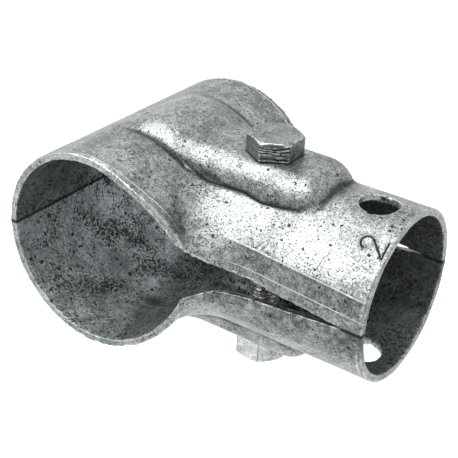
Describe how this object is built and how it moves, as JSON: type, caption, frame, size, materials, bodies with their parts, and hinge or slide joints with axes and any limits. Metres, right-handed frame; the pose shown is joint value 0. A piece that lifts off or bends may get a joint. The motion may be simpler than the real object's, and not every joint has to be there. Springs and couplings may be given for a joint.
{
  "type": "tube clamp tee fitting",
  "caption": "Tee of pressed steel half shells, drawn together by a hexagon bolt, that clamps a branch tube at a right angle to a run tube.",
  "frame": {"origin": "where the axes of the run tube and the branch tube cross", "axes": "+X along the branch tube out of the fitting, +Y along the run tube, +Z along the bolt towards its head"},
  "size_m": [0.1487, 0.098, 0.0977],
  "materials": {
    "shell_zinc": "hot dip galvanised, dull and mottled",
    "fastener_zinc": "hot dip galvanised, slightly brighter"
  },
  "bodies": {
    "root": {"upper_half_shell": "shell_zinc", "lower_half_shell": "shell_zinc", "clamp_bolt": "fastener_zinc", "clamp_nut": "fastener_zinc"}
  },
  "joints": []
}
